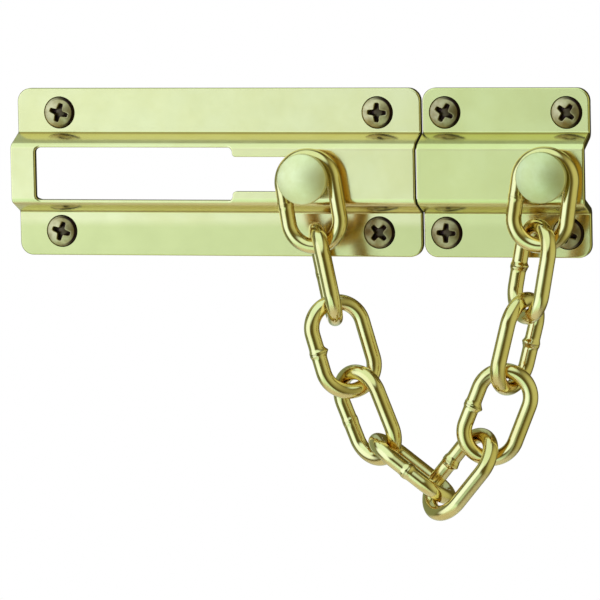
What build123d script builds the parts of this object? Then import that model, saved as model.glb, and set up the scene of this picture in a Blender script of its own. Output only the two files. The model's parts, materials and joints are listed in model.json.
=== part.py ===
from build123d import *
import math
import os
from collections import Counter
import numpy as np

# Chain door guard: a slotted track plate, a keeper plate and ten welded links hanging between two studs.
# The plates lie in the XZ plane with their backs on Y = 0 and their faces towards -Y.
# The origin is the middle of the track plate's four screws, on the plane of its back. +Z is up.
# The chain hangs by its weight: its links' slopes and seats are solved below, and a few links lean off them.

# Formed strip, the same section for both plates
sheet = 1.5
strip_height = 38.0
channel_rise = 6.0
channel_base = 18.2
channel_top = 12.9
bend_inside = 0.4
bend_outside = 1.6
flange_corner = 3.0
edge_round = 0.35

# Lengths of the plates and the space between them
track_length = 95.0
keeper_length = 38.4
plate_gap = 0.45

# Entry window and narrow slot, measured from the track's left end
window_start = 5.8
window_end = 52.5
window_height = 11.9
window_corner = 1.1
slot_height = 7.8
lip_corner = 0.8

# Studs
slide_from_left = 71.0
keeper_from_left = 30.45
neck_diameter = 5.8
neck_length = 6.0
head_diameter = 11.4
head_rim = 1.7
head_dome = 1.4
rim_round = 0.4
slot_end_gap = 0.5
slot_lip_gap = 0.5
foot_diameter = 9.4
foot_thickness = 1.5
foot_gap = 0.3
tenon_diameter = 4.4
tenon_clearance = 0.15
peen_diameter = 6.4
peen_height = 1.0
washer_diameter = 8.6
washer_thickness = 0.8

# Chain links: bent round wire with the weld on one leg
link_count = 10
wire = 3.5
link_length = 23.9
link_width = 15.3
seat_play = 0.25
weld_rise = 0.3
weld_length = 2.6
weld_root = 0.1
chain_depth = 10.5

# Each link's turn about its axis and its lean off the chain's pull, in degrees, how far towards the back
# the next link bears on it, and the leg with its weld
link_twists = [0.0, 73.0, -25.0, 33.0, -92.0, -50.0, 6.0, 68.0, -50.0, 4.0]
link_leans = [0.0, 0.0, 0.0, -5.0, -9.0, 7.0, 0.0, 0.0, 0.0, 0.0]
seat_asides = [0.0, 0.0, 0.0, 0.0, -1.2, 0.0, 0.0, 0.0, 0.0]
weld_legs = [-1, -1, -1, -1, -1, 1, 1, -1, 1, 1]

# Number 6 oval countersunk wood screws. Of the flange's flat width left beside a hole, a share lies on the
# channel's side, and the round of the plate's rim takes no more than a share of that wall.
screw_head_diameter = 6.9
screw_shank_diameter = 3.5
screw_crown = 0.8
screw_length = 18.0
screw_point = 5.0
screw_clearance = 0.3
countersink_behind = 0.5
hole_inboard_share = 0.203
hole_round_share = 0.8
recess_length = 3.9
recess_width = 1.1
recess_depth = 1.7
track_screw_x = 75.0
keeper_screw_x = 28.0
track_turns = [18.0, 63.0, 40.0, 8.0]
keeper_turns = [33.0, 55.0, 74.0, 22.0]

# How far a cutting tool runs past the face it cuts, and how near two points count as one
cut_past = 1.0
same_place = 0.01

# Closeness of the chain's seats and of its end, the range and stride of the seats' search in wires and mm,
# and the nudge that the chain's rates are taken over
seat_match = 1e-6
seat_shallow = 0.9
seat_deep = 2.2
seat_stride = 0.2
end_match = 1e-3
newton_nudge = 1e-3

# Least share of -Y in the normal of a face that looks forward
forward_share = 0.2

# Levels towards the front, all negative Y
flange_front = -sheet
face_front = -(sheet + channel_rise)
face_back = -channel_rise
head_under = face_front - neck_length
head_edge = head_under - head_rim
head_top = head_edge - head_dome

# Stations along X
track_left = -track_length / 2
track_right = track_length / 2
keeper_left = track_right + plate_gap
keeper_middle = keeper_left + keeper_length / 2
slide_x = track_left + slide_from_left
keeper_x = keeper_left + keeper_from_left

# The slide stud hangs low in its slot, its neck just above the lower lip
slide_z = slot_lip_gap - (slot_height - neck_diameter) / 2

# The screws' lines in the flanges, to a micrometre, from the channel's bends and the countersunk holes
channel_run = (channel_base - channel_top) / 2
bend_flat = bend_inside * math.tan(math.atan2(channel_rise, channel_run) / 2)
countersink_back = screw_shank_diameter / 2 + screw_clearance * math.sqrt(2)
countersink_front = countersink_back + sheet
flange_flat = (strip_height - channel_base) / 2 - bend_flat
hole_wall = hole_inboard_share * (flange_flat - 2 * countersink_front)
screw_z = round(channel_base + 2 * (bend_flat + hole_wall + countersink_front), 3)
rim_edge_round = min(edge_round, hole_round_share * hole_wall)

# Link measures on the wire's centreline
end_radius = (link_width - wire) / 2
leg_half = (link_length - link_width) / 2
neck_to_centre = link_length / 2 - wire - neck_diameter / 2 - seat_play


def strip_profile():
    """Outline of the formed sheet in the YZ plane, upper half first, with the bend corners to round."""
    half = strip_height / 2
    foot = channel_base / 2
    top = channel_top / 2
    run = foot - top
    slant = math.hypot(run, channel_rise)
    shift = sheet * (slant - run) / channel_rise
    front = [(flange_front, half), (flange_front, foot), (face_front, top)]
    back = [(face_back, top - shift), (0.0, foot - shift), (0.0, half)]
    lower_front = [(y, -z) for y, z in reversed(front)]
    lower_back = [(y, -z) for y, z in reversed(back)]
    return front + lower_front + lower_back + back


def hang_direction(slope, swing):
    """Unit vector at a slope in the chain's upright plane, which is swung about Z from the XZ plane."""
    level = math.cos(slope)
    return np.array([level * math.cos(swing), level * math.sin(swing), math.sin(slope)])


def link_axes(slope, twist, swing):
    """Axis and width direction of a link, the width turned about the axis towards the front."""
    along = hang_direction(slope, swing)
    side = hang_direction(slope + math.pi / 2, swing)
    front = np.array([math.sin(swing), -math.cos(swing), 0.0])
    return along, math.cos(twist) * side + math.sin(twist) * front


def link_centreline(axes):
    """Points on the wire's centreline of a link at the origin: two half circles joined by two legs."""
    along, width = axes
    turn = np.linspace(-math.pi / 2, math.pi / 2, 61)
    leg = np.linspace(leg_half, -leg_half, 15)[1:-1]
    first = np.stack([leg_half + end_radius * np.cos(turn), end_radius * np.sin(turn)], axis=1)
    upper = np.stack([leg, np.full(leg.shape, end_radius)], axis=1)
    flat = np.concatenate([first, upper, -first, -upper])
    return flat[:, :1] * along + flat[:, 1:] * width


def link_end(axes, pull):
    """Point of the centreline of a link at the origin that lies farthest along a direction."""
    along, width = axes
    reach = np.array([pull @ along, pull @ width])
    reach = reach / np.linalg.norm(reach)
    bend = reach[0] * along + reach[1] * width
    return math.copysign(leg_half, reach[0]) * along + end_radius * bend


def seat_room(first, second, step):
    """Space between the wires of two links when the second one's centre is a step from the first one's."""
    return np.linalg.norm(first[:, None, :] - (second + step)[None, :, :], axis=2).min() - wire


def seat_offset(first_axes, second_axes, pull, aside):
    """Step from one link's centre to the next and the point where they bear, when pulled along pull.

    The second link bears this far aside, towards the back, of the first one's end.
    """
    first = link_centreline(first_axes)
    second = link_centreline(second_axes)
    first_end = link_end(first_axes, pull)
    second_end = link_end(second_axes, -pull) - np.array([0.0, aside, 0.0])
    apart = first_end - second_end
    far = seat_shallow * wire
    while seat_room(first, second, apart - far * pull) < seat_play and far < seat_deep * wire:
        far += seat_stride
    near = far - seat_stride
    while far - near > seat_match:
        depth = (near + far) / 2
        if seat_room(first, second, apart - depth * pull) < seat_play:
            near = depth
        else:
            far = depth
    return apart - far * pull, first_end - far / 2 * pull


def hang_chain(steepness, lowest, swing):
    """Axes, centres and bearing points of the links, each slope in proportion to the weight it carries."""
    slopes = [math.atan(steepness * (number - lowest)) for number in range(1, link_count + 1)]
    slopes = [slope + math.radians(lean) for slope, lean in zip(slopes, link_leans)]
    axes = [link_axes(slope, math.radians(twist), swing) for slope, twist in zip(slopes, link_twists)]
    centres = [np.array([slide_x, -chain_depth, slide_z]) + neck_to_centre * axes[0][0]]
    bearings = []
    for number in range(1, link_count):
        tension = math.atan(steepness * (number + 0.5 - lowest))
        pull = hang_direction(tension, swing)
        step, bearing = seat_offset(axes[number - 1], axes[number], pull, seat_asides[number - 1])
        bearings.append(centres[-1] + bearing)
        centres.append(centres[-1] + step)
    end = centres[-1] + neck_to_centre * axes[-1][0]
    return slopes, axes, centres, bearings, end


def solve_chain():
    """The chain whose last link hangs on the keeper's neck, found by Newton's rule in three unknowns."""
    state = np.array([1.6, (link_count + 1) / 2, 0.0])
    target = np.array([keeper_x, -chain_depth, 0.0])
    for _ in range(12):
        miss = hang_chain(*state)[4] - target
        if np.abs(miss).max() < end_match:
            break
        rates = np.zeros((3, 3))
        for column in range(3):
            moved = state.copy()
            moved[column] += newton_nudge
            rates[:, column] = (hang_chain(*moved)[4] - target - miss) / newton_nudge
        state = state - np.linalg.solve(rates, miss)
    return hang_chain(*state)


def screw_stations(middle, spacing):
    """Centres of four screws in X and Z: upper left, upper right, lower left, lower right."""
    half_x = spacing / 2
    half_z = screw_z / 2
    return [(middle + sx * half_x, sz * half_z) for sz in (1, -1) for sx in (-1, 1)]


track_stations = screw_stations(0.0, track_screw_x)
keeper_stations = screw_stations(keeper_middle, keeper_screw_x)
os.makedirs("parts", exist_ok=True)


def at_level(vertices, level):
    """The sketch's points whose first coordinate is at a level."""
    return [v for v in vertices if abs(v.X - level) < same_place]


def strip_blank(start, length):
    """A length of the formed strip with its bends and its four flange corners rounded."""
    channel_foot = channel_base / 2 + same_place
    with BuildPart() as blank:
        with BuildSketch(Plane.YZ.offset(start)) as section:
            with BuildLine():
                Polyline(*strip_profile(), close=True)
            make_face()
            hollow = at_level(section.vertices(), flange_front) + at_level(section.vertices(), face_back)
            fillet([v for v in hollow if abs(v.Y) < channel_foot], bend_inside)
            crest = at_level(section.vertices(), face_front) + at_level(section.vertices(), 0.0)
            fillet([v for v in crest if abs(v.Y) < channel_foot], bend_outside)
        extrude(amount=length)
        upper_ends = blank.edges().filter_by(Axis.Y).group_by(Axis.Z)[-1]
        lower_ends = blank.edges().filter_by(Axis.Y).group_by(Axis.Z)[0]
        fillet(upper_ends + lower_ends, flange_corner)
    return blank.part


def front_rim(plate):
    """Edges round the front of a plate and its openings: those that one forward face has alone."""
    forward = [face for face in plate.faces() if face.normal_at().Y < -forward_share]
    shared = Counter(edge for face in forward for edge in face.edges())
    return [edge for edge, faces in shared.items() if faces == 1 and edge.center().Y < -edge_round]


def countersinks(stations):
    """Cuts a countersunk hole at each station of the plate being built, clear of the channel's wall."""
    with Locations(*[(x, countersink_behind, z) for x, z in stations]):
        Cone(
            countersink_back - countersink_behind,
            countersink_front + hole_wall,
            countersink_behind + sheet + hole_wall,
            rotation=(90, 0, 0),
            align=(Align.CENTER, Align.CENTER, Align.MIN),
            mode=Mode.SUBTRACT,
        )


def cap_middle(edge_radius, edge_level, top_level):
    """Point half way along a spherical cap's outline, from its edge to the top on the axis."""
    rise = edge_level - top_level
    ball = (edge_radius**2 + rise**2) / (2 * rise)
    half_angle = math.asin(edge_radius / ball) / 2
    return ball * math.sin(half_angle), top_level + ball * (1 - math.cos(half_angle))


# Track plate: window, narrow slot and countersunk holes in a length of strip
window_left = track_left + window_start
window_right = track_left + window_end
slot_end = slide_x + neck_diameter / 2 + slot_end_gap
slot_centre = slot_end - slot_height / 2
with BuildPart() as track_plate:
    add(strip_blank(track_left, track_length))
    with BuildSketch(Plane.XZ.offset(cut_past - face_front)) as opening:
        with BuildLine():
            Polyline(
                (window_left, window_height / 2),
                (window_right, window_height / 2),
                (window_right, slot_height / 2),
                (slot_centre, slot_height / 2),
                (slot_centre, -slot_height / 2),
                (window_right, -slot_height / 2),
                (window_right, -window_height / 2),
                (window_left, -window_height / 2),
                close=True,
            )
        make_face()
        tall = [v for v in opening.vertices() if abs(v.Y) > (window_height + slot_height) / 4]
        fillet(tall, window_corner)
        step = at_level(opening.vertices(), window_right)
        fillet([v for v in step if abs(v.Y) < slot_height / 2 + same_place], lip_corner)
        with Locations((slot_centre, 0)):
            Circle(slot_height / 2)
    extrude(amount=-(channel_rise + cut_past), mode=Mode.SUBTRACT)
    countersinks(track_stations)
    fillet(front_rim(track_plate), rim_edge_round)
track_plate.part.label = "track_plate"
export_step(track_plate.part, "parts/track_plate.step")

# Keeper plate: the rivet hole in the channel's face and countersunk holes
with BuildPart() as keeper_plate:
    add(strip_blank(keeper_left, keeper_length))
    countersinks(keeper_stations)
    fillet(front_rim(keeper_plate), rim_edge_round)
    with Locations((keeper_x, 0, 0)):
        Cylinder(
            tenon_diameter / 2 + tenon_clearance,
            cut_past - face_front,
            rotation=(90, 0, 0),
            align=(Align.CENTER, Align.CENTER, Align.MIN),
            mode=Mode.SUBTRACT,
        )
keeper_plate.part.label = "keeper_plate"
export_step(keeper_plate.part, "parts/keeper_plate.step")


def stud_solid(shoulder, ring_back):
    """A stud turned about Y: domed head, neck to the shoulder, tenon through a ring, peened behind it."""
    rim = head_diameter / 2
    neck = neck_diameter / 2
    tenon = tenon_diameter / 2
    peen = peen_diameter / 2
    peen_end = ring_back + peen_height
    peen_out, peen_rise = cap_middle(peen, 0.0, -peen_height)
    with BuildPart() as stud:
        with BuildSketch() as half_section:
            with BuildLine():
                ThreePointArc((0, head_top), cap_middle(rim, head_edge, head_top), (rim, head_edge))
                Polyline((rim, head_edge), (rim, head_under), (neck, head_under), (neck, shoulder))
                Polyline((neck, shoulder), (tenon, shoulder), (tenon, ring_back), (peen, ring_back))
                ThreePointArc((peen, ring_back), (peen_out, ring_back - peen_rise), (0, peen_end))
                Line((0, peen_end), (0, head_top))
            make_face()
            fillet(at_level(half_section.vertices(), rim), rim_round)
        revolve(axis=Axis.Y)
    return stud.part


def ring_solid(diameter, front, back):
    """A flat ring about Y that the tenon passes through."""
    with BuildPart() as ring:
        with BuildSketch(Plane.XZ.offset(-front)):
            Circle(diameter / 2)
            Circle(tenon_diameter / 2 + tenon_clearance, mode=Mode.SUBTRACT)
        extrude(amount=front - back)
    return ring.part


# Slide stud and the foot riveted to it behind the slot's lips
foot_front = face_back + foot_gap
foot_back = foot_front + foot_thickness
with BuildPart() as slide_stud:
    add(stud_solid(foot_front, foot_back).moved(Location((slide_x, 0, slide_z))))
slide_stud.part.label = "slide_stud"
export_step(slide_stud.part, "parts/slide_stud.step")
with BuildPart() as slide_foot:
    add(ring_solid(foot_diameter, foot_front, foot_back).moved(Location((slide_x, 0, slide_z))))
slide_foot.part.label = "slide_foot"
export_step(slide_foot.part, "parts/slide_foot.step")

# Keeper stud, riveted through the face over a washer inside the channel
washer_back = face_back + washer_thickness
with BuildPart() as keeper_stud:
    add(stud_solid(face_front, washer_back).moved(Location((keeper_x, 0, 0))))
keeper_stud.part.label = "keeper_stud"
export_step(keeper_stud.part, "parts/keeper_stud.step")
with BuildPart() as keeper_washer:
    add(ring_solid(washer_diameter, face_back, washer_back).moved(Location((keeper_x, 0, 0))))
keeper_washer.part.label = "keeper_washer"
export_step(keeper_washer.part, "parts/keeper_washer.step")

# One link with its axis along X, its width along Y and the weld on its +Y leg
weld_half = weld_length / 2
weld_edge = end_radius + wire / 2 - weld_root
weld_crest = end_radius + wire / 2 + weld_rise
with BuildPart() as link_pattern:
    with BuildSketch(Plane.YZ.offset(leg_half)):
        with Locations((end_radius, 0)):
            Circle(wire / 2)
    revolve(axis=Axis((leg_half, 0, 0), (0, 0, 1)), revolution_arc=-180)
    with BuildSketch(Plane.YZ.offset(-leg_half)):
        with Locations((-end_radius, 0)):
            Circle(wire / 2)
    revolve(axis=Axis((-leg_half, 0, 0), (0, 0, 1)), revolution_arc=-180)
    with BuildSketch(Plane.YZ.offset(-leg_half)):
        with Locations((end_radius, 0), (-end_radius, 0)):
            Circle(wire / 2)
    extrude(amount=2 * leg_half)
    with BuildSketch(Plane.XY):
        with BuildLine():
            ThreePointArc((-weld_half, weld_edge), (0, weld_crest), (weld_half, weld_edge))
            Polyline((weld_half, weld_edge), (weld_half, end_radius), (-weld_half, end_radius))
            Line((-weld_half, end_radius), (-weld_half, weld_edge))
        make_face()
    revolve(axis=Axis((0, end_radius, 0), (1, 0, 0)))

# The hanging chain
slopes, axes, centres, bearings, chain_end = solve_chain()
for number in range(link_count):
    along, width = axes[number]
    normal = np.cross(along, width) * weld_legs[number]
    place = Plane(origin=tuple(centres[number]), x_dir=tuple(along), z_dir=tuple(normal))
    with BuildPart() as chain_link:
        add(link_pattern.part.moved(place.location))
    chain_link.part.label = f"chain_link_{number + 1:02d}"
    export_step(chain_link.part, f"parts/chain_link_{number + 1:02d}.step")

# One wood screw along +Y: raised head with a cross recess, cone down to the plate's back, shank and point
head_radius = screw_head_diameter / 2
shank = screw_shank_diameter / 2
cone_top = shank - head_radius
crown_top = cone_top - screw_crown
crown_middle = cap_middle(head_radius, cone_top, crown_top)
point_start = screw_length - screw_point
with BuildPart() as screw_pattern:
    with BuildSketch():
        with BuildLine():
            ThreePointArc((0, crown_top), crown_middle, (head_radius, cone_top))
            Polyline((head_radius, cone_top), (shank, 0), (shank, point_start), (0, screw_length))
            Line((0, screw_length), (0, crown_top))
        make_face()
    revolve(axis=Axis.Y)
    with BuildSketch(Plane(origin=(0, crown_top, 0), x_dir=(1, 0, 0), z_dir=(0, -1, 0))):
        Rectangle(recess_length, recess_width)
        Rectangle(recess_width, recess_length)
    extrude(amount=-recess_depth, mode=Mode.SUBTRACT)

# Two groups of four screws, each cross left at its own turn
with BuildPart() as track_screws:
    for (x, z), turn in zip(track_stations, track_turns):
        add(screw_pattern.part.moved(Location((x, 0, z), (0, turn, 0))))
track_screws.part.label = "track_screws"
export_step(track_screws.part, "parts/track_screws.step")
with BuildPart() as keeper_screws:
    for (x, z), turn in zip(keeper_stations, keeper_turns):
        add(screw_pattern.part.moved(Location((x, 0, z), (0, turn, 0))))
keeper_screws.part.label = "keeper_screws"
export_step(keeper_screws.part, "parts/keeper_screws.step")
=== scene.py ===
import json
import logging
import math
from dataclasses import dataclass, field, replace
from enum import Enum

import bpy
import numpy as np
from mathutils import Matrix, Vector


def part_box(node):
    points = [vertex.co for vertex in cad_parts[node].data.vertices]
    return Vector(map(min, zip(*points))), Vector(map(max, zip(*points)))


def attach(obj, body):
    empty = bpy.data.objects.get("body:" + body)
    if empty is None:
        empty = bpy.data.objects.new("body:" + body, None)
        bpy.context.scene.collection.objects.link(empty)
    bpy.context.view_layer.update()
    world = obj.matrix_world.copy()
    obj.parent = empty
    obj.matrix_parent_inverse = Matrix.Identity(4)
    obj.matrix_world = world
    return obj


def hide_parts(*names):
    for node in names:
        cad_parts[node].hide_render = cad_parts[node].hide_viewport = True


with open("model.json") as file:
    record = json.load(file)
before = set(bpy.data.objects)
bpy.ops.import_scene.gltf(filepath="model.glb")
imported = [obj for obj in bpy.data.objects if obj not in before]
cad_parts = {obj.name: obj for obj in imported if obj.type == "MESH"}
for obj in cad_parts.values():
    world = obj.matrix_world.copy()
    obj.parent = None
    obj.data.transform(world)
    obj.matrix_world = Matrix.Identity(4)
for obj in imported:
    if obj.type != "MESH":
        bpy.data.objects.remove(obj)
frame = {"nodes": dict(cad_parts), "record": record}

LOG = logging.getLogger("door_guard")
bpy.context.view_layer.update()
MM = 0.001

Tree = bpy.types.NodeTree
Socket = bpy.types.NodeSocket


def linear(hex_colour: str) -> tuple[float, float, float, float]:
    """Turns an sRGB hex colour into the linear colour that shaders take.

    Args:
        hex_colour: Six hex digits, with or without a leading hash.

    Returns:
        Linear red, green and blue with an alpha of 1.
    """
    digits = hex_colour.lstrip("#")
    shares = [int(digits[i : i + 2], 16) / 255 for i in (0, 2, 4)]
    red, green, blue = (c / 12.92 if c <= 0.04045 else ((c + 0.055) / 1.055) ** 2.4 for c in shares)
    return (red, green, blue, 1.0)


def per_metre(size_mm: float) -> float:
    """Texture scale that gives features of a size in millimetres."""
    return 1.0 / (size_mm * MM)


def heading(azimuth_deg: float, elevation_deg: float) -> Vector:
    """Direction from the object: azimuth 0 is towards -Y and 90 towards +X."""
    a = math.radians(azimuth_deg)
    e = math.radians(elevation_deg)
    return Vector((math.sin(a) * math.cos(e), -math.cos(a) * math.cos(e), math.sin(e)))


def add_node(
    tree: Tree,
    kind: str,
    settings: dict[str, object] | None = None,
    inputs: dict[str | int, object] | None = None,
) -> bpy.types.Node:
    """Adds a node, sets its own properties, and fills or links its inputs.

    Args:
        tree: The node tree that takes the node.
        kind: Blender's name for the kind of node.
        settings: Properties of the node, by name.
        inputs: Values or output sockets, by input name or place.

    Returns:
        The new node.
    """
    made = tree.nodes.new(kind)
    for name, value in (settings or {}).items():
        setattr(made, name, value)
    for name, value in (inputs or {}).items():
        if isinstance(value, Socket):
            tree.links.new(value, made.inputs[name])
        else:
            made.inputs[name].default_value = value
    return made


def smooth_step(share: np.ndarray) -> np.ndarray:
    """Rises from 0 to 1 with level ends as its argument goes from 0 to 1."""
    held = np.clip(share, 0.0, 1.0)
    return held * held * (3.0 - 2.0 * held)


def hump(way: np.ndarray, half: float) -> np.ndarray:
    """A bell of height 1 at 0, which falls to 1/e at its half width on either side."""
    return np.exp(-((way / half) ** 2))


def ring_quads(rings: int, count: int, closed: bool = False) -> np.ndarray:
    """Four-sided faces between neighbouring rings of points.

    Args:
        rings: Number of rings.
        count: Points on each ring.
        closed: Whether the last ring joins the first.

    Returns:
        Corner numbers, one row for each face.
    """
    row = np.arange(rings if closed else rings - 1)[:, None]
    column = np.arange(count)[None, :]
    here = row * count
    below = (row + 1) % rings * count
    beside = (column + 1) % count
    corners = [here + column, here + beside, below + beside, below + column]
    return np.stack(corners, axis=-1).reshape(-1, 4)


def put_mesh(name: str, corners: np.ndarray, faces: list[np.ndarray]) -> bpy.types.Object:
    """Makes a smooth mesh object at the origin from arrays.

    Args:
        name: Name of the object and its mesh.
        corners: Points in metres, one row each.
        faces: Arrays of corner numbers, one array for each number of sides.

    Returns:
        The new object, linked into the scene.
    """
    loops = np.concatenate([part.ravel() for part in faces])
    sides = np.concatenate([np.full(len(part), part.shape[1]) for part in faces])
    starts = np.concatenate([[0], np.cumsum(sides)[:-1]])
    mesh = bpy.data.meshes.new(name)
    mesh.vertices.add(len(corners))
    mesh.vertices.foreach_set("co", corners.astype(np.float32).ravel())
    mesh.loops.add(len(loops))
    mesh.loops.foreach_set("vertex_index", loops.astype(np.int32))
    mesh.polygons.add(len(sides))
    mesh.polygons.foreach_set("loop_start", starts.astype(np.int32))
    mesh.polygons.foreach_set("use_smooth", np.ones(len(sides), dtype=bool))
    mesh.update(calc_edges=True)
    mesh.validate()
    made = bpy.data.objects.new(name, mesh)
    bpy.context.scene.collection.objects.link(made)
    return made


def put_attribute(piece: bpy.types.Object, name: str, values: np.ndarray) -> None:
    """Stores one number per point of a piece, for its material to read."""
    layer = piece.data.attributes.new(name, "FLOAT", "POINT")
    layer.data.foreach_set("value", values.astype(np.float32).ravel())


def wear(piece: bpy.types.Object, material: bpy.types.Material) -> None:
    """Gives a piece one material in place of any that it has."""
    piece.data.materials.clear()
    piece.data.materials.append(material)


class Lay(Enum):
    """Which way the fine lines of a metal surface run."""

    ALONG_STRIP = "rolled along X"
    TURNED = "rings about the stud"
    DRAWN = "along the wire"
    CAST = "no direction"


# Texture scale along each axis: a small share draws the lines out along that axis
LINE_STRETCH = {
    Lay.ALONG_STRIP: (0.03, 1.0, 1.0),
    Lay.DRAWN: (0.06, 1.0, 1.0),
    Lay.CAST: (1.0, 1.0, 1.0),
}

# Levels between which nearly all of a noise texture lies
NOISE_LOW = 0.3
NOISE_HIGH = 0.7

# Smears of the gloss in the width of one cloud of colour
SMEARS_PER_CLOUD = 3


@dataclass(frozen=True, kw_only=True)
class BrassFinish:
    """A brass finish: its colours, its gloss and the marks left by how it was made."""

    name: str
    bright: str
    deep: str
    lay: Lay
    roughness: tuple[float, float]
    cloud_mm: float
    line_mm: float
    line_lift_mm: float
    wave_mm: float
    wave_lift_mm: float
    lacquer: float
    lacquer_roughness: float = 0.05
    # Colour of weld scale on wire, and of painted shade on screws
    soot_and_shade: str = ""
    soot_and_shade_attribute: str = ""
    axis_mm: tuple[float, float] = (0.0, 0.0)

    def material(self) -> bpy.types.Material:
        """Makes the material.

        Returns:
            A metal whose colour drifts in clouds, with lines and waves in its relief under lacquer.
        """
        made = bpy.data.materials.new(self.name)
        made.use_nodes = True
        tree = made.node_tree
        tree.nodes.clear()
        place = add_node(tree, "ShaderNodeTexCoord").outputs["Object"]
        colour = linear(self.bright)
        for share, tone in self.coats(tree, place):
            mix = {0: share, 6: colour, 7: linear(tone)}
            colour = add_node(tree, "ShaderNodeMix", {"data_type": "RGBA"}, mix).outputs[2]
        shader = add_node(
            tree,
            "ShaderNodeBsdfPrincipled",
            inputs={
                "Base Color": colour,
                "Metallic": 1.0,
                "Roughness": self.gloss(tree, place),
                "Coat Weight": self.lacquer,
                "Coat Roughness": self.lacquer_roughness,
                "Normal": self.relief(tree, place),
            },
        )
        add_node(tree, "ShaderNodeOutputMaterial", inputs={"Surface": shader.outputs["BSDF"]})
        return made

    def coats(self, tree: Tree, place: Socket) -> list[tuple[Socket, str]]:
        """Adds the shares of the tones that lie over the bright one.

        Args:
            tree: The material's node tree.
            place: Object coordinates in metres.

        Returns:
            A share and a hex colour for each tone, from the lowest up.
        """
        cloud = add_node(
            tree,
            "ShaderNodeTexNoise",
            inputs={"Vector": place, "Scale": per_metre(self.cloud_mm), "Detail": 4.0, "Roughness": 0.6},
        ).outputs["Fac"]
        drift = add_node(
            tree,
            "ShaderNodeMapRange",
            {"interpolation_type": "SMOOTHSTEP"},
            {"Value": cloud, "From Min": NOISE_LOW, "From Max": NOISE_HIGH},
        ).outputs["Result"]
        tones = [(drift, self.deep)]
        # The attribute's share of that dark colour: weld scale, or painted shade and dulling
        if self.soot_and_shade_attribute:
            dirt_and_shade = add_node(tree, "ShaderNodeAttribute", {"attribute_name": self.soot_and_shade_attribute})
            tones.append((dirt_and_shade.outputs["Fac"], self.soot_and_shade))
        return tones

    def gloss(self, tree: Tree, place: Socket) -> Socket:
        """Adds the roughness, which drifts between its two limits in smears.

        Args:
            tree: The material's node tree.
            place: Object coordinates in metres.

        Returns:
            The roughness.
        """
        fine = per_metre(self.cloud_mm / SMEARS_PER_CLOUD)
        smear = add_node(
            tree,
            "ShaderNodeTexNoise",
            inputs={"Vector": place, "Scale": fine, "Detail": 6.0, "Roughness": 0.7},
        ).outputs["Fac"]
        low, high = self.roughness
        span = {"From Min": NOISE_LOW, "From Max": NOISE_HIGH, "To Min": low, "To Max": high}
        return add_node(tree, "ShaderNodeMapRange", inputs={"Value": smear, **span}).outputs["Result"]

    def relief(self, tree: Tree, place: Socket) -> Socket:
        """Adds the fine lines over the slow form of the surface.

        Args:
            tree: The material's node tree.
            place: Object coordinates in metres.

        Returns:
            The bent normal.
        """
        return add_node(
            tree,
            "ShaderNodeBump",
            inputs={
                "Height": self.lines(tree, place),
                "Strength": 1.0,
                "Distance": self.line_lift_mm * MM,
                "Normal": self.form(tree, place),
            },
        ).outputs["Normal"]

    def form(self, tree: Tree, place: Socket) -> Socket:
        """Adds the slow waves that the making leaves in the surface.

        Args:
            tree: The material's node tree.
            place: Object coordinates in metres.

        Returns:
            The bent normal.
        """
        waves = add_node(
            tree,
            "ShaderNodeTexNoise",
            inputs={"Vector": place, "Scale": per_metre(self.wave_mm), "Detail": 1.0},
        ).outputs["Fac"]
        return add_node(
            tree,
            "ShaderNodeBump",
            inputs={"Height": waves, "Strength": 1.0, "Distance": self.wave_lift_mm * MM},
        ).outputs["Normal"]

    def lines(self, tree: Tree, place: Socket) -> Socket:
        """Adds the height of the fine lines, laid as the finish's making leaves them.

        Args:
            tree: The material's node tree.
            place: Object coordinates in metres.

        Returns:
            A height from 0 to 1.
        """
        scale = per_metre(self.line_mm)
        if self.lay is Lay.TURNED:
            ring = {"W": self.ring_radius(tree, place), "Scale": scale, "Detail": 2.0}
            return add_node(tree, "ShaderNodeTexNoise", {"noise_dimensions": "1D"}, ring).outputs["Fac"]
        if self.lay is Lay.DRAWN:
            place = add_node(tree, "ShaderNodeUVMap", {"uv_map": "wire"}).outputs["UV"]
        laid = add_node(tree, "ShaderNodeMapping", inputs={"Vector": place, "Scale": LINE_STRETCH[self.lay]})
        return add_node(
            tree,
            "ShaderNodeTexNoise",
            inputs={"Vector": laid.outputs["Vector"], "Scale": scale, "Detail": 3.0},
        ).outputs["Fac"]

    def ring_radius(self, tree: Tree, place: Socket) -> Socket:
        """Adds the distance from the axis along Y that the piece was turned about.

        Args:
            tree: The material's node tree.
            place: Object coordinates in metres.

        Returns:
            The distance in metres.
        """
        axis = (self.axis_mm[0] * MM, 0.0, self.axis_mm[1] * MM)
        away = add_node(tree, "ShaderNodeVectorMath", {"operation": "SUBTRACT"}, {0: place, 1: axis})
        flat = add_node(
            tree,
            "ShaderNodeVectorMath",
            {"operation": "MULTIPLY"},
            {0: away.outputs["Vector"], 1: (1.0, 0.0, 1.0)},
        )
        length = add_node(tree, "ShaderNodeVectorMath", {"operation": "LENGTH"}, {0: flat.outputs["Vector"]})
        return length.outputs["Value"]


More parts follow.
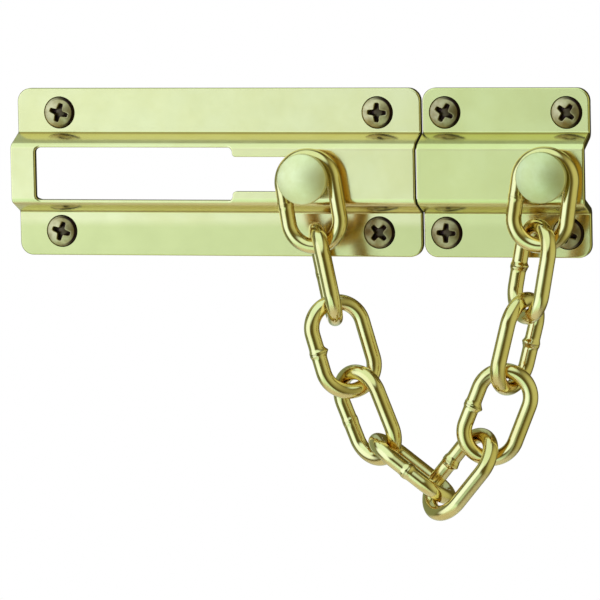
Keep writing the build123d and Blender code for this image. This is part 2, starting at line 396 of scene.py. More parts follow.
@dataclass(frozen=True, kw_only=True)
class WireBrass(BrassFinish):
    """Brass on wire, with a painted warm reflection where it looks towards the door."""

    # Colour of the painted warm reflection, and the facing over which it grows
    warm_reflection: str
    warm_reflection_facing: tuple[float, float] = (0.0, 0.5)

    def coats(self, tree: Tree, place: Socket) -> list[tuple[Socket, str]]:
        """Adds the painted warm reflection on the side facing the door, between the clouds and the weld's
        scale.

        Args:
            tree: The material's node tree.
            place: Object coordinates in metres.

        Returns:
            A share and a hex colour for each tone, from the lowest up.
        """
        normal = add_node(tree, "ShaderNodeTexCoord").outputs["Normal"]
        across = add_node(tree, "ShaderNodeSeparateXYZ", inputs={"Vector": normal}).outputs["Y"]
        # Painted warm reflection: its share grows as the wire faces +Y, towards the door
        start, full = self.warm_reflection_facing
        door = add_node(
            tree,
            "ShaderNodeMapRange",
            {"interpolation_type": "SMOOTHSTEP"},
            {"Value": across, "From Min": start, "From Max": full},
        ).outputs["Result"]
        clouds, *upper = super().coats(tree, place)
        return [clouds, (door, self.warm_reflection), *upper]


@dataclass(frozen=True)
class Band:
    """A stretch along one axis over which a mark grows from none to its full share."""

    axis: str
    start_mm: float
    full_mm: float
    full_share: float = 1.0

    def share(self, tree: Tree, place: Socket) -> Socket:
        """Adds the mark's share at a place: none before the start, and the full one past the end.

        Args:
            tree: The material's node tree.
            place: Object coordinates in metres.

        Returns:
            The share.
        """
        level = add_node(tree, "ShaderNodeSeparateXYZ", inputs={"Vector": place}).outputs[self.axis]
        span = {"From Min": self.start_mm * MM, "From Max": self.full_mm * MM, "To Max": self.full_share}
        return add_node(
            tree,
            "ShaderNodeMapRange",
            {"interpolation_type": "SMOOTHSTEP"},
            {"Value": level, **span},
        ).outputs["Result"]


@dataclass(frozen=True, kw_only=True)
class StripBrass(BrassFinish):
    """Brass on formed strip, with the marks of shearing, bending, plating and buffing.

    The lower flange is painted a deeper tone: painted shade, as it mirrors darker light. The bends at the
    channel's foot are darkened with painted shade, and the edges cut by shearing are rough and dark, partly
    with painted shade.
    """

    # The lower flange's deeper tone: painted shade
    low: str
    low_flange_shade_band: Band = Band("Z", -10.4, -12.8)
    # Painted shade in the bends at the channel's foot, and where it rises and falls along Y
    hollow_shade: str
    hollow_shade_rise: Band = Band("Y", -1.53, -1.75, 0.75)
    hollow_shade_fall: Band = Band("Y", -2.9, -1.9)
    # Dark of the cut edges: partly their own rough tone, partly painted shade
    sheared_tone_and_shade: str
    sheared_facing: tuple[float, float] = (0.12, 0.32)
    sheared_roughness: float = 0.5
    crown_mm: float
    flange_face_mm: float = -1.5
    channel_face_mm: float = -7.5

    def coats(self, tree: Tree, place: Socket) -> list[tuple[Socket, str]]:
        """Adds the painted shade of the lower flange and of the bends at the channel's foot, and the dark of
        the cut edges, partly painted shade, over the clouds.

        Args:
            tree: The material's node tree.
            place: Object coordinates in metres.

        Returns:
            A share and a hex colour for each tone, from the lowest up.
        """
        # Painted shade: the share of the bends at the channel's foot
        hollow_shade = add_node(
            tree,
            "ShaderNodeMath",
            {"operation": "MULTIPLY"},
            {0: self.hollow_shade_rise.share(tree, place), 1: self.hollow_shade_fall.share(tree, place)},
        ).outputs["Value"]
        return [
            *super().coats(tree, place),
            (self.low_flange_shade_band.share(tree, place), self.low),
            (hollow_shade, self.hollow_shade),
            (self.edge_share(tree), self.sheared_tone_and_shade),
        ]

    def edge_share(self, tree: Tree) -> Socket:
        """Adds the share of edge cut by shearing, whose dark is partly painted shade: 1 where the surface
        stands square to the sheet, else 0.

        Args:
            tree: The material's node tree.

        Returns:
            The share.
        """
        normal = add_node(tree, "ShaderNodeTexCoord").outputs["Normal"]
        across = add_node(tree, "ShaderNodeSeparateXYZ", inputs={"Vector": normal}).outputs["Y"]
        flat = add_node(tree, "ShaderNodeMath", {"operation": "ABSOLUTE"}, {0: across}).outputs["Value"]
        start, end = self.sheared_facing
        return add_node(
            tree,
            "ShaderNodeMapRange",
            {"interpolation_type": "SMOOTHSTEP"},
            {"Value": flat, "From Min": start, "From Max": end, "To Min": 1.0, "To Max": 0.0},
        ).outputs["Result"]

    def gloss(self, tree: Tree, place: Socket) -> Socket:
        """Adds the roughness, with rough edges where shearing cut the strip.

        Args:
            tree: The material's node tree.
            place: Object coordinates in metres.

        Returns:
            The roughness.
        """
        faces = super().gloss(tree, place)
        mix = {0: self.edge_share(tree), 2: faces, 3: self.sheared_roughness}
        return add_node(tree, "ShaderNodeMix", inputs=mix).outputs[0]

    def form(self, tree: Tree, place: Socket) -> Socket:
        """Adds the crown of the channel's walls, which curve over towards its face, to the waves.

        Args:
            tree: The material's node tree.
            place: Object coordinates in metres.

        Returns:
            The bent normal.
        """
        level = add_node(tree, "ShaderNodeSeparateXYZ", inputs={"Vector": place}).outputs["Y"]
        span = {"From Min": self.flange_face_mm * MM, "From Max": self.channel_face_mm * MM}
        rise = add_node(tree, "ShaderNodeMapRange", inputs={"Value": level, **span}).outputs["Result"]
        drop = add_node(tree, "ShaderNodeMath", {"operation": "POWER"}, {0: rise, 1: 2.0}).outputs["Value"]
        return add_node(
            tree,
            "ShaderNodeBump",
            {"invert": True},
            {
                "Height": drop,
                "Strength": 1.0,
                "Distance": self.crown_mm * MM,
                "Normal": super().form(tree, place),
            },
        ).outputs["Normal"]


# Bright brass electroplate on cold-rolled steel strip, buffed and lacquered: a pale mirror with slow waves.
# Its rolling lines are drawn coarser than real ones, so that they show.
PLATE_BRASS = StripBrass(
    name="Brass plated strip, buffed and lacquered",
    bright="#E4D295",
    deep="#DFCC8A",
    lay=Lay.ALONG_STRIP,
    roughness=(0.15, 0.24),
    cloud_mm=16.0,
    line_mm=0.35,
    line_lift_mm=0.0015,
    wave_mm=22.0,
    wave_lift_mm=0.07,
    lacquer=0.25,
    # Dark of the cut edges: partly their own tone, partly painted shade
    sheared_tone_and_shade="#463C20",
    # Painted shade in the bends at the channel's foot
    hollow_shade="#8C6E28",
    # The lower flange's deeper tone: painted shade
    low="#CEC27C",
    crown_mm=1.0,
)

# The same plate on the keeper's strip, a touch deeper and yellower: painted shade, for the dimmer light at
# the keeper's end
KEEPER_SHADED_BRASS = replace(
    PLATE_BRASS,
    name="Brass plated keeper strip, buffed and lacquered",
    bright="#D9CD87",
    deep="#D3C67D",
)

# Bright brass plate on bent and welded wire, barrel polished: deeper yellow, with faint drawing lines.
# The lines are drawn coarser than real ones, so that they show.
WIRE_BRASS = WireBrass(
    name="Brass plated wire, barrel polished",
    bright="#E6D292",
    deep="#DCC47C",
    lay=Lay.DRAWN,
    roughness=(0.09, 0.16),
    cloud_mm=9.0,
    line_mm=0.3,
    line_lift_mm=0.001,
    wave_mm=5.0,
    wave_lift_mm=0.03,
    lacquer=0.2,
    soot_and_shade="#6B5420",
    soot_and_shade_attribute="weld_scale",
    # Painted warm reflection on the side facing the door
    warm_reflection="#DCB05A",
)

# Brass plated steel screw: a dull head, with painted shade in its recess and round its rim.
# Its grain is drawn coarser than a real one, so that it shows.
SCREW_BRASS = BrassFinish(
    name="Brass plated wood screw, dulled",
    bright="#CCB684",
    deep="#A08755",
    lay=Lay.CAST,
    roughness=(0.30, 0.42),
    cloud_mm=3.0,
    line_mm=0.25,
    line_lift_mm=0.004,
    wave_mm=3.0,
    wave_lift_mm=0.01,
    lacquer=0.1,
    # Painted shade in the recess and round the rim
    soot_and_shade="#2A1612",
    soot_and_shade_attribute="recess",
)

# Turned brass, polished with a cloth: a soft pale sheen with lathe rings.
# The rings are drawn coarser than real ones, so that they show.
STUD_BRASS = BrassFinish(
    name="Turned brass slide stud, polished",
    bright="#EEE2A8",
    deep="#E2D494",
    lay=Lay.TURNED,
    roughness=(0.47, 0.55),
    cloud_mm=6.0,
    line_mm=0.22,
    line_lift_mm=0.0015,
    wave_mm=7.0,
    wave_lift_mm=0.02,
    lacquer=0.25,
)

# The same brass on the keeper's stud, a touch deeper as its plate is: painted shade
KEEPER_STUD_SHADED_BRASS = replace(
    STUD_BRASS,
    name="Turned brass keeper stud, polished",
    bright="#DAD398",
    deep="#CEC684",
)


@dataclass
class Plate:
    """A formed plate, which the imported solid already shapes."""

    node: str
    finish: StripBrass

    def dress(self) -> str:
        """Gives the plate its finish and returns its name."""
        wear(frame["nodes"][self.node], self.finish.material())
        return self.node


@dataclass
class Stud:
    """A turned stud and the ring that it is riveted through, about one axis along Y."""

    nodes: tuple[str, str]
    finish: BrassFinish

    def axis_mm(self) -> tuple[float, float]:
        """X and Z of the stud's axis in millimetres, from the middle of its packed box."""
        low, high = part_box(self.nodes[0])
        middle = (low + high) / 2
        return (middle.x / MM, middle.z / MM)

    def dress(self) -> list[str]:
        """Gives the stud and its ring their finish, turned about their axis, and returns their names."""
        material = replace(self.finish, axis_mm=self.axis_mm()).material()
        for name in self.nodes:
            wear(frame["nodes"][name], material)
        return list(self.nodes)


LINK_COUNT = 10

# Links whose weld was dressed nearly flush before plating, and the share of the weld that is left on them
DRESSED_WELDS = (1, 2, 4, 10)
DRESSED_SHARE = 0.4


@dataclass
class ChainLink:
    """One welded link of round wire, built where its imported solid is.

    Places of the flash and the burr are measured along the wire from the weld's seam.
    """

    number: int
    wire_mm: float = 3.5
    length_mm: float = 23.9
    width_mm: float = 15.3
    bend_thinning: float = 0.012
    weld_share: float = 1.0
    weld_rise_mm: float = 0.3
    weld_half_mm: float = 1.3
    collar_share: float = 0.7
    flash_share: float = 0.16
    flash_mm: float = 0.42
    flash_half_mm: float = 0.2
    flash_uneven: float = 0.25
    flash_phase: float = 0.9
    seam_share: float = 0.7
    seam_half_mm: float = 0.16
    scale_share: float = 0.55
    scale_half_mm: float = 0.22
    burr_rise_mm: float = 0.5
    burr_mm: float = 0.4
    burr_half_mm: float = 0.6
    along_count: int = 288
    round_count: int = 40
    weld_crowding: float = 0.55

    def node(self) -> str:
        """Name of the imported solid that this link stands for."""
        return f"chain_link_{self.number:02d}"

    def seat(self) -> tuple[np.ndarray, np.ndarray]:
        """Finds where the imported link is, from the moments of its solid.

        Each triangle and the origin make a tetrahedron. Their summed volumes, first moments and
        second moments give the link's middle and its principal directions, and the leg that
        stands further out carries the weld.

        Returns:
            The link's middle in metres, and rows for its length, its weld side and its flat side.
        """
        mesh = frame["nodes"][self.node()].data
        mesh.calc_loop_triangles()
        points = np.empty(len(mesh.vertices) * 3)
        mesh.vertices.foreach_get("co", points)
        corners = np.empty(len(mesh.loop_triangles) * 3, dtype=np.int32)
        mesh.loop_triangles.foreach_get("vertices", corners)
        a, b, c = np.moveaxis(points.reshape(-1, 3)[corners.reshape(-1, 3)], 1, 0)
        volume = np.einsum("ij,ij->i", a, np.cross(b, c)) / 6
        total = a + b + c
        middle = (volume[:, None] * total).sum(0) / 4 / volume.sum()
        second = sum(np.einsum("i,ij,ik->jk", volume, v, v) for v in (a, b, c, total)) / 20
        spread = second / volume.sum() - np.outer(middle, middle)
        directions = np.linalg.eigh(spread)[1].T
        along, side = directions[2], directions[1]
        reach = (points.reshape(-1, 3) - middle) @ np.stack([along, side]).T
        low, high = reach.min(0), reach.max(0)
        if high[1] < -low[1]:
            side, low[1], high[1] = -side, -high[1], -low[1]
        middle = middle + along * (low[0] + high[0]) / 2
        middle = middle + side * (low[1] + self.width_mm * MM / 2)
        return middle, np.stack([along, side, np.cross(along, side)])

    def build(self) -> bpy.types.Object:
        """Builds the link's wire surface.

        A circle of the wire's radius is carried along a loop of two straight legs and two half
        circles, starting at the weld, where its rings crowd. The turn of the loop's normal grows
        only on the half circles, and the travel along the legs only on the legs.

        Returns:
            The link's object.
        """
        wire = self.wire_mm / 2
        bend = self.width_mm / 2 - wire
        leg = (self.length_mm - self.width_mm) / 2
        loop = 4 * leg + 2 * math.pi * bend
        share = np.arange(self.along_count) / self.along_count
        crowding = self.weld_crowding * np.sin(2 * np.pi * share) / (2 * np.pi)
        run = (loop * (share - crowding))[:, None]
        girth = (2 * np.pi * np.arange(self.round_count) / self.round_count)[None, :]
        first_end = leg + np.pi * bend
        turn = np.clip((run - leg) / bend, 0, np.pi)
        turn = turn + np.clip((run - first_end - 2 * leg) / bend, 0, np.pi)
        travel = np.clip(run, 0, leg) - np.clip(run - first_end, 0, 2 * leg)
        travel = travel + np.clip(run - loop + leg, 0, leg)
        past_weld = np.where(run < loop / 2, run, run - loop)
        radius = self.wire_radius(past_weld, girth, turn)
        out = bend + radius * np.cos(girth)
        flat = np.stack(
            [travel + out * np.sin(turn), out * np.cos(turn), radius * np.sin(girth) + 0 * run],
            axis=-1,
        )
        middle, rows = self.seat()
        corners = (flat.reshape(-1, 3) * MM) @ rows + middle
        faces = ring_quads(self.along_count, self.round_count, closed=True)
        piece = put_mesh(f"link_wire_{self.number:02d}", corners, [faces])
        scale = self.scale_share * self.weld_share * hump(past_weld, self.scale_half_mm)
        put_attribute(piece, "weld_scale", scale * self.unevenness(girth))
        self.lay_wire(piece, np.broadcast_to(run, radius.shape), np.broadcast_to(girth * wire, radius.shape))
        return piece

    def unevenness(self, girth: np.ndarray) -> np.ndarray:
        """Share of the weld's flash round the wire, different on each link."""
        waves = np.cos(girth - self.flash_phase * self.number) * np.cos(2 * girth + self.number)
        return 1 - self.flash_uneven + self.flash_uneven * waves

    def wire_radius(self, past_weld: np.ndarray, girth: np.ndarray, turn: np.ndarray) -> np.ndarray:
        """The wire's radius in millimetres.

        At the weld it swells to a collar with a ridge of flash on each side of a thin seam, and a
        burr stands on the loop's inner side. On the bends it thins a little outside, as bent wire does.

        Args:
            past_weld: Way along the wire from the weld, in millimetres, one column.
            girth: Angles round the wire, from its outer side, one row.
            turn: Angles that the loop has turned through, one column.

        Returns:
            A radius for each ring and angle.
        """
        wire = self.wire_mm / 2
        from_weld = np.abs(past_weld)
        collar = smooth_step(1 - from_weld / self.weld_half_mm)
        seam = self.seam_share * hump(from_weld, self.seam_half_mm)
        ridge = hump(from_weld - self.flash_mm, self.flash_half_mm) - seam
        swell = self.collar_share * collar + self.flash_share * ridge * self.unevenness(girth)
        burr = hump(past_weld - self.burr_mm, self.burr_half_mm) * smooth_step(-np.cos(girth)) ** 2
        bent = np.sin(np.clip(turn, 0, np.pi)) + np.abs(np.sin(np.clip(turn - np.pi, 0, np.pi)))
        radius = wire + self.weld_share * self.weld_rise_mm * swell
        radius = radius + self.weld_share**2 * self.burr_rise_mm * burr
        return radius - self.bend_thinning * wire * bent * (1 + np.cos(girth))

    def lay_wire(self, piece: bpy.types.Object, run: np.ndarray, girth: np.ndarray) -> None:
        """Lays a map on the link with the way along the wire and round it, both in metres.

        Args:
            piece: The link's object.
            run: Way along the wire at each point, in millimetres.
            girth: Way round the wire at each point, in millimetres.
        """
        layer = piece.data.uv_layers.new(name="wire")
        corner = np.empty(len(piece.data.loops), dtype=np.int32)
        piece.data.loops.foreach_get("vertex_index", corner)
        spots = np.stack([run.ravel(), girth.ravel()], axis=-1)[corner] * MM
        layer.data.foreach_set("uv", spots.astype(np.float32).ravel())

    def dress(self, piece: bpy.types.Object, material: bpy.types.Material) -> str:
        """Gives the link its finish, hangs it on its body and returns its name."""
        wear(piece, material)
        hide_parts(self.node())
        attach(piece, f"link_{self.number:02d}")
        return piece.name


@dataclass
class WoodScrews:
    """Four raised countersunk wood screws with cross recesses, driven along +Y.

    The dulling is the least share of the dark colour on each screw, and painted shade darkens the recess and
    the rim, most on one side.
    """

    node: str
    turns_deg: tuple[float, ...]
    dulling: tuple[float, ...]
    head_mm: float = 6.9
    crown_mm: float = 0.8
    rim_round_mm: float = 0.1
    rim_drop_mm: float = 0.08
    cone_start: float = 0.08
    shank_mm: float = 3.5
    length_mm: float = 18.0
    point_mm: float = 5.0
    tip_mm: float = 0.1
    neck_mm: float = 0.2
    plain_mm: float = 4.5
    pitch_mm: float = 1.41
    thread_depth: float = 0.3
    crest_flat: float = 1.15
    crest_half: float = 0.2
    hub_mm: float = 0.06
    recess_mm: float = 4.6
    recess_depth_mm: float = 1.5
    wing_mm: float = 1.3
    wing_taper: float = 0.12
    wing_wall_mm: float = 0.26
    wing_slope_mm: float = 0.7
    core_mm: float = 0.95
    core_wall_mm: float = 0.3
    # Painted highlight: how much lighter the recess's middle is
    core_highlight: float = 0.15
    # Painted shade round the rim: its width, fade, reach and the turn of its darkest side
    rim_shade_mm: float = 0.62
    rim_shade_fade_mm: float = 0.25
    rim_shade_reach: float = 0.7
    rim_shade_turn: float = 0.2
    round_count: int = 96
    recess_rings: int = 38
    crown_rings: int = 10
    rim_rings: int = 5
    cone_rings: int = 8
    plain_rings: int = 8
    thread_rings: int = 120

    def stations(self) -> list[tuple[float, float]]:
        """X and Z of the four screws in metres, from the plate's packed mount."""
        mounts = {m["name"]: m for m in frame["record"]["mounts"]}
        mount = mounts[self.node]
        half_x = mount["dims"]["spacing_x_mm"] * MM / 2
        half_z = mount["dims"]["spacing_y_mm"] * MM / 2
        x, _, z = mount["pos_m"]
        return [(x + i * half_x, z + k * half_z) for k in (1, -1) for i in (-1, 1)]

    def recess(self, ring: np.ndarray, turn: np.ndarray) -> tuple[np.ndarray, np.ndarray]:
        """The cross recess, as a share of its depth.

        Each wing is a product of smooth steps across its width and along its length, so that its
        walls are steep and its ends slope. A round core joins the wings.

        Args:
            ring: Radii from the screw's axis in millimetres, one column.
            turn: Angles round the screw, one row.

        Returns:
            Shares of the whole recess and of its core.
        """
        across = ring * np.cos(turn)
        up = ring * np.sin(turn)
        half = self.wing_mm / 2
        wings = [
            smooth_step((half - self.wing_taper * np.abs(p) - np.abs(q)) / self.wing_wall_mm + 0.5)
            * smooth_step((self.recess_mm / 2 - np.abs(p)) / self.wing_slope_mm)
            for p, q in ((across, up), (up, across))
        ]
        core = smooth_step((self.core_mm - ring) / self.core_wall_mm + 0.5) + 0 * turn
        return np.maximum(np.maximum(wings[0], wings[1]), core), core

    def head_rows(self, turn: np.ndarray) -> tuple[np.ndarray, ...]:
        """The head from its middle to the foot of its cone.

        The top is a spherical cap with the cross recess cut into it. Past the rounded rim the cone
        runs down to the shank.

        Args:
            turn: Angles round the screw, one row.

        Returns:
            Radius, depth along the screw, painted shade in the recess and painted shade round the rim, one
            row per ring.
        """
        rim = self.head_mm / 2
        shank = self.shank_mm / 2
        cone_top = shank - rim
        cap_edge = rim - self.rim_round_mm
        ball = (rim**2 + self.crown_mm**2) / (2 * self.crown_mm)
        inner = np.linspace(self.hub_mm, self.recess_mm / 2, self.recess_rings)
        outer = np.linspace(self.recess_mm / 2 + self.rim_round_mm, cap_edge, self.crown_rings)
        ring = np.concatenate([inner, outer])[:, None]
        hole, core = self.recess(ring, turn)
        sag = ball - np.sqrt(ball**2 - ring**2)
        depth = cone_top - self.crown_mm + sag + self.recess_depth_mm * hole
        edge = np.linspace(0, 1, self.rim_rings)[:, None]
        edge_depth = cone_top - self.crown_mm + ball - math.sqrt(ball**2 - cap_edge**2)
        rim_rows = rim - self.rim_round_mm * (1 - edge) ** 2
        rim_levels = edge_depth + (cone_top + self.rim_drop_mm - edge_depth) * edge
        cone = np.linspace(self.cone_start, 1, self.cone_rings)[1:, None]
        cone_rows = rim + (shank - rim) * cone
        cone_levels = cone_top - cone_top * cone
        radius = np.concatenate([ring, rim_rows, cone_rows]) + 0 * turn
        level = np.concatenate([depth, rim_levels + 0 * turn, cone_levels + 0 * turn])
        # Painted shade round the rim, from inside the cap's edge out over the rim and cone
        cap_rim_shade = smooth_step((ring - rim + self.rim_shade_mm) / self.rim_shade_fade_mm)
        rim_shade = np.concatenate([cap_rim_shade, rim_rows / rim, cone_rows / rim]) + 0 * turn
        # Painted shade in the recess, with a painted highlight at its middle
        soot_and_shade = np.zeros_like(radius)
        soot_and_shade[: len(ring)] = hole * (1 - self.core_highlight * core)
        return radius, level, soot_and_shade, rim_shade

    def shank_rows(self, turn: np.ndarray) -> tuple[np.ndarray, np.ndarray]:
        """The shank, its thread and its point.

        The outer radius is level and then runs down to the point. Between a root at seven tenths
        of it and that radius stands one helical ridge, whose height falls off on both sides of
        a line that climbs one pitch for each turn.

        Args:
            turn: Angles round the screw, one row.

        Returns:
            Radius and depth along the screw, one row per ring.
        """
        plain = np.linspace(self.neck_mm, self.plain_mm, self.plain_rings)
        threaded = np.linspace(self.plain_mm, self.length_mm - self.tip_mm, self.thread_rings)[1:]
        level = np.concatenate([plain, threaded])[:, None]
        outer = self.shank_mm / 2 * np.clip((self.length_mm - level) / self.point_mm, 0, 1)
        climb = (level / self.pitch_mm - turn / (2 * np.pi)) % 1.0
        crest = np.clip(self.crest_flat - np.abs(climb - 0.5) / self.crest_half, 0, 1)
        cut = smooth_step((level - self.plain_mm) / self.pitch_mm)
        return outer * (1 - self.thread_depth * cut * (1 - crest)), level + 0 * turn

    def build(self) -> bpy.types.Object:
        """Builds the four screws as closed surfaces of rings, each with its own turn and dulling.

        Painted shade lies in the recess and on the right of the rim, and the dulling on all of the screw.

        Returns:
            One object with the four screws.
        """
        turn = (2 * np.pi * np.arange(self.round_count) / self.round_count)[None, :]
        head_radius, head_level, head_shade, head_rim_shade = self.head_rows(turn)
        shank_radius, shank_level = self.shank_rows(turn)
        radius = np.concatenate([head_radius, shank_radius])
        level = np.concatenate([head_level, shank_level])
        soot_and_shade = np.concatenate([head_shade, 0 * shank_radius])
        rim_shade = np.concatenate([head_rim_shade, 0 * shank_radius])
        tip_level = np.array([head_level[0].mean(), self.length_mm])
        # The head's middle is in painted shade, lessened by the painted highlight
        tip_shade = [1 - self.core_highlight, 0.0]
        tips = np.stack([np.zeros(2), tip_level, np.zeros(2)], axis=-1)
        quads = ring_quads(len(radius), self.round_count)
        fans = self.end_fans(len(radius))
        corners, faces, shades_and_dulling = [], ([], []), []
        for count, ((x, z), spin, dull) in enumerate(zip(self.stations(), self.turns_deg, self.dulling)):
            angle = turn - math.radians(spin)
            rings = np.stack([radius * np.cos(angle), level, radius * np.sin(angle)], axis=-1).reshape(-1, 3)
            corners.append(np.concatenate([rings, tips]) * MM + np.array([x, 0.0, z]))
            # Painted shade round the rim, deepest on the right
            side_shade = rim_shade * smooth_step(0.5 + self.rim_shade_reach * np.cos(angle - self.rim_shade_turn))
            dirt_and_shade = np.maximum(np.maximum(soot_and_shade, side_shade), dull)
            shades_and_dulling.append(np.concatenate([dirt_and_shade.ravel(), tip_shade]))
            faces[0].append(quads + count * (len(rings) + len(tips)))
            faces[1].append(fans + count * (len(rings) + len(tips)))
        joined = [np.concatenate(part) for part in faces]
        piece = put_mesh(f"{self.node}_cut", np.concatenate(corners), joined)
        put_attribute(piece, "recess", np.concatenate(shades_and_dulling))
        return piece

    def end_fans(self, rings: int) -> np.ndarray:
        """Three-sided faces that close the head's middle and the point.

        Args:
            rings: Number of rings from the head's middle to the point.

        Returns:
            Corner numbers, one row for each face.
        """
        column = np.arange(self.round_count)
        beside = (column + 1) % self.round_count
        last = (rings - 1) * self.round_count
        tip = np.full(self.round_count, rings * self.round_count)
        top = np.stack([tip, beside, column], axis=-1)
        end = np.stack([tip + 1, last + column, last + beside], axis=-1)
        return np.concatenate([top, end])

    def dress(self, piece: bpy.types.Object, material: bpy.types.Material) -> str:
        """Gives the screws their finish, fixes them to the plates and returns their name."""
        wear(piece, material)
        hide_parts(self.node)
        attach(piece, "plates")
        return piece.name


@dataclass(frozen=True)
class Softbox:
    """A large soft lamp that faces the object from one direction."""

    name: str
    azimuth_deg: float
    elevation_deg: float
    distance_m: float
    size_m: tuple[float, float]
    radiance: float
    colour: str

    def build(self, aim: Vector) -> bpy.types.Object:
        """Sets the lamp up to light the floor; mirrors see the tent's panels in its place.

        Args:
            aim: The point that the lamp faces, in metres.

        Returns:
            The lamp.
        """
        lamp = bpy.data.lights.new(self.name, "AREA")
        lamp.shape = "RECTANGLE"
        lamp.size, lamp.size_y = self.size_m
        lamp.energy = self.radiance * math.pi * self.size_m[0] * self.size_m[1]
        lamp.color = linear(self.colour)[:3]
        made = bpy.data.objects.new(self.name, lamp)
        back = heading(self.azimuth_deg, self.elevation_deg)
        made.location = aim + back * self.distance_m
        made.rotation_euler = back.to_track_quat("Z", "Y").to_euler()
        made.visible_camera = False
        made.visible_glossy = False
        bpy.context.scene.collection.objects.link(made)
        return made


@dataclass(frozen=True)
class Panel:
    """A lit panel of the light tent, round and soft-edged, in one direction from the object."""

    name: str
    azimuth_deg: float
    elevation_deg: float
    inner_deg: float
    outer_deg: float
    radiance: float
    colour: str

    def share(self, tree: Tree, way: Socket) -> Socket:
        """Adds the panel's share of a direction: 1 inside, falling to 0 at its outer angle.

        Args:
            tree: The world's node tree.
            way: The direction that a ray leaves in.

        Returns:
            The share.
        """
        towards = tuple(heading(self.azimuth_deg, self.elevation_deg))
        facing = add_node(tree, "ShaderNodeVectorMath", {"operation": "DOT_PRODUCT"}, {0: way, 1: towards})
        return add_node(
            tree,
            "ShaderNodeMapRange",
            {"interpolation_type": "SMOOTHSTEP"},
            {
                "Value": facing.outputs["Value"],
                "From Min": math.cos(math.radians(self.outer_deg)),
                "From Max": math.cos(math.radians(self.inner_deg)),
            },
        ).outputs["Result"]

    def light(self) -> tuple[float, ...]:
        """The panel's linear colour at its radiance."""
        return tuple(self.radiance * c for c in linear(self.colour)[:3]) + (1.0,)


# A rosy lamp that makes up for the cool panels on the floor
FLOOR_LAMP = Softbox("softbox_left", -40.0, 45.0, 1.2, (0.9, 0.9), 2.6, "#FFC4C0")

# Cool panels: yellow brass mirrors them as the pale yellow of polished plate
TENT_PANELS = (
    Panel("high behind", -156.0, 50.0, 16.0, 30.0, 0.7, "#D4F2EA"),
    Panel("low behind", -158.0, -40.0, 16.0, 30.0, 0.7, "#D4F2EA"),
    Panel("left wall", -120.0, 0.0, 30.0, 48.0, 0.36, "#E4FFD8"),
    Panel("right wall", 88.0, 0.0, 18.0, 66.0, 0.72, "#F2FFC8"),
    Panel("low front", -25.0, -38.0, 26.0, 42.0, 1.3, "#D3FFFF"),
    Panel("high front", -20.0, 54.0, 34.0, 48.0, 1.6, "#CCEEFA"),
    Panel("left key", -44.0, 3.0, 21.0, 38.0, 2.15, "#C7E1FF"),
)


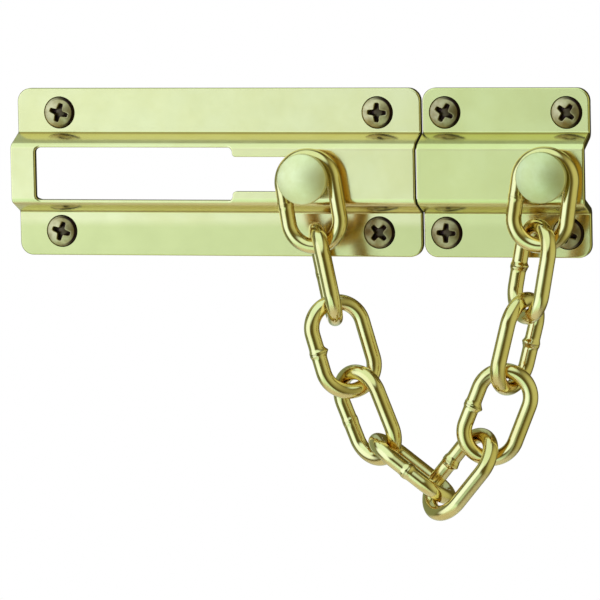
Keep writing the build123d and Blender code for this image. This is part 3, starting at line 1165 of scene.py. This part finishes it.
@dataclass
class Studio:
    """The pale floor, the light tent, the soft lamp and the camera."""

    aim: Vector = field(default_factory=lambda: Vector((18.15, 0.0, -29.0)) * MM)
    azimuth_deg: float = 16.5
    elevation_deg: float = 5.5
    roll_deg: float = -1.15
    distance_m: float = 1.5
    lens_mm: float = 399.0
    sensor_mm: float = 36.0
    clip_end_m: float = 20.0
    floor_colour: str = "#F4F4F0"
    floor_level_m: float = -0.16
    floor_radius_m: float = 0.24
    floor_hub_m: float = 0.01
    floor_fade_m: tuple[float, float] = (0.06, 0.22)
    floor_sides: int = 96
    floor_rings: int = 24
    lamp: Softbox = FLOOR_LAMP
    room: str = "#605B30"
    panels: tuple[Panel, ...] = TENT_PANELS
    backdrop: Panel = Panel("backdrop", -163.5, -5.5, 8.0, 16.0, 1.0, "#FFFFFF")

    def build(self) -> None:
        """Builds the floor, the light tent, the lamp and the camera, in that order."""
        self.build_floor()
        self.build_tent()
        LOG.info("lamp set up: %s", self.lamp.build(self.aim).name)
        self.build_camera()

    def build_floor(self) -> None:
        """Lays a round pale floor under the object, which fades out at its edge.

        The disc is a fan of rings: radius grows with one parameter and the turn with the other.
        """
        count = self.floor_sides
        turn = (2 * np.pi * np.arange(count) / count)[None, :]
        ring = np.linspace(self.floor_hub_m, self.floor_radius_m, self.floor_rings)[:, None]
        flat = np.stack([ring * np.cos(turn), ring * np.sin(turn), 0 * ring + 0 * turn], axis=-1)
        corners = np.concatenate([flat.reshape(-1, 3), np.zeros((1, 3))]) + np.array(self.floor_middle())
        column = np.arange(count)
        fan = np.stack([np.full(count, self.floor_rings * count), column, (column + 1) % count], axis=-1)
        faces_up = ring_quads(self.floor_rings, count)[:, ::-1]
        floor = put_mesh("studio_floor", corners, [faces_up, fan])
        wear(floor, self.floor_material())

    def floor_middle(self) -> tuple[float, float, float]:
        """The middle of the floor, under the point that the camera aims at."""
        return (self.aim.x, 0.0, self.floor_level_m)

    def floor_material(self) -> bpy.types.Material:
        """Makes pale matt paper whose edge fades out, so that it passes into the white surround.

        Returns:
            The material.
        """
        made = bpy.data.materials.new("Pale matt paper")
        made.use_nodes = True
        tree = made.node_tree
        tree.nodes.clear()
        place = add_node(tree, "ShaderNodeTexCoord").outputs["Object"]
        ends = {0: place, 1: self.floor_middle()}
        away = add_node(tree, "ShaderNodeVectorMath", {"operation": "DISTANCE"}, ends).outputs["Value"]
        start, end = self.floor_fade_m
        fade = add_node(
            tree,
            "ShaderNodeMapRange",
            {"interpolation_type": "SMOOTHSTEP"},
            {"Value": away, "From Min": start, "From Max": end},
        )
        paper = add_node(tree, "ShaderNodeBsdfDiffuse", inputs={"Color": linear(self.floor_colour)})
        clear = add_node(tree, "ShaderNodeBsdfTransparent")
        both = add_node(
            tree,
            "ShaderNodeMixShader",
            inputs={0: fade.outputs["Result"], 1: paper.outputs["BSDF"], 2: clear.outputs["BSDF"]},
        )
        add_node(tree, "ShaderNodeOutputMaterial", inputs={"Surface": both.outputs["Shader"]})
        return made

    def build_tent(self) -> None:
        """Sets the world: a dim warm room with the tent's lit panels, and a white backdrop.

        The camera sees the backdrop everywhere, and mirrored rays see it in its own direction.
        """
        world = bpy.data.worlds.new("studio_surround")
        world.use_nodes = True
        tree = world.node_tree
        tree.nodes.clear()
        way = add_node(tree, "ShaderNodeTexCoord").outputs["Generated"]
        coats = [(panel.share(tree, way), panel.light()) for panel in self.panels]
        coats.append((self.backdrop_share(tree, way), self.backdrop.light()))
        colour = linear(self.room)
        for share, light in coats:
            mix = {0: share, 6: colour, 7: light}
            colour = add_node(tree, "ShaderNodeMix", {"data_type": "RGBA"}, mix).outputs[2]
        glow = add_node(tree, "ShaderNodeBackground", inputs={"Color": colour, "Strength": 1.0})
        add_node(tree, "ShaderNodeOutputWorld", inputs={"Surface": glow.outputs["Background"]})
        bpy.context.scene.world = world
        LOG.info("tent lit: %s", [panel.name for panel in self.panels])

    def backdrop_share(self, tree: Tree, way: Socket) -> Socket:
        """Adds the share of the backdrop: all of what the camera sees, and its own direction in mirrors.

        Args:
            tree: The world's node tree.
            way: The direction that a ray leaves in.

        Returns:
            The share.
        """
        path = add_node(tree, "ShaderNodeLightPath").outputs
        mirrored = add_node(
            tree,
            "ShaderNodeMath",
            {"operation": "MAXIMUM"},
            {0: path["Is Glossy Ray"], 1: path["Is Transmission Ray"]},
        ).outputs["Value"]
        behind = add_node(
            tree,
            "ShaderNodeMath",
            {"operation": "MULTIPLY"},
            {0: mirrored, 1: self.backdrop.share(tree, way)},
        ).outputs["Value"]
        return add_node(
            tree,
            "ShaderNodeMath",
            {"operation": "MAXIMUM"},
            {0: path["Is Camera Ray"], 1: behind},
        ).outputs["Value"]

    def build_camera(self) -> None:
        """Places the camera at the photograph's viewing angle, with its small roll."""
        lens = bpy.data.cameras.new("camera")
        lens.lens = self.lens_mm
        lens.sensor_width = self.sensor_mm
        lens.clip_end = self.clip_end_m
        back = heading(self.azimuth_deg, self.elevation_deg)
        turn = math.radians(self.azimuth_deg)
        level = Vector((math.cos(turn), math.sin(turn), 0.0))
        roll = math.radians(self.roll_deg)
        right = level * math.cos(roll) + back.cross(level) * math.sin(roll)
        turned = Matrix((right, back.cross(right), back)).transposed()
        camera = bpy.data.objects.new("camera", lens)
        camera.matrix_world = Matrix.Translation(self.aim + back * self.distance_m) @ turned.to_4x4()
        bpy.context.scene.collection.objects.link(camera)
        bpy.context.scene.camera = camera


def main() -> None:
    """Builds and dresses the guard piece by piece, then the studio round it."""
    logging.basicConfig(level=logging.INFO, format="%(name)s: %(message)s")
    bpy.context.scene.view_settings.view_transform = "Standard"
    for plate in (Plate("track_plate", PLATE_BRASS), Plate("keeper_plate", KEEPER_SHADED_BRASS)):
        LOG.info("plate dressed: %s", plate.dress())
    studs = (
        Stud(("slide_stud", "slide_foot"), STUD_BRASS),
        Stud(("keeper_stud", "keeper_washer"), KEEPER_STUD_SHADED_BRASS),
    )
    for stud in studs:
        LOG.info("stud dressed: %s", stud.dress())
    wire = WIRE_BRASS.material()
    for number in range(1, LINK_COUNT + 1):
        link = ChainLink(number, weld_share=DRESSED_SHARE if number in DRESSED_WELDS else 1.0)
        LOG.info("link built: %s", link.dress(link.build(), wire))
    screw = SCREW_BRASS.material()
    groups = (
        WoodScrews("track_screws", (18.0, 2.0, 18.0, 45.0), (0.0, 0.0, 0.0, 0.14)),
        WoodScrews("keeper_screws", (28.0, 38.0, 3.0, 22.0), (0.24, 0.14, 0.18, 0.24)),
    )
    for group in groups:
        LOG.info("screws built: %s", group.dress(group.build(), screw))
    Studio().build()


if __name__ == "__main__":
    main()
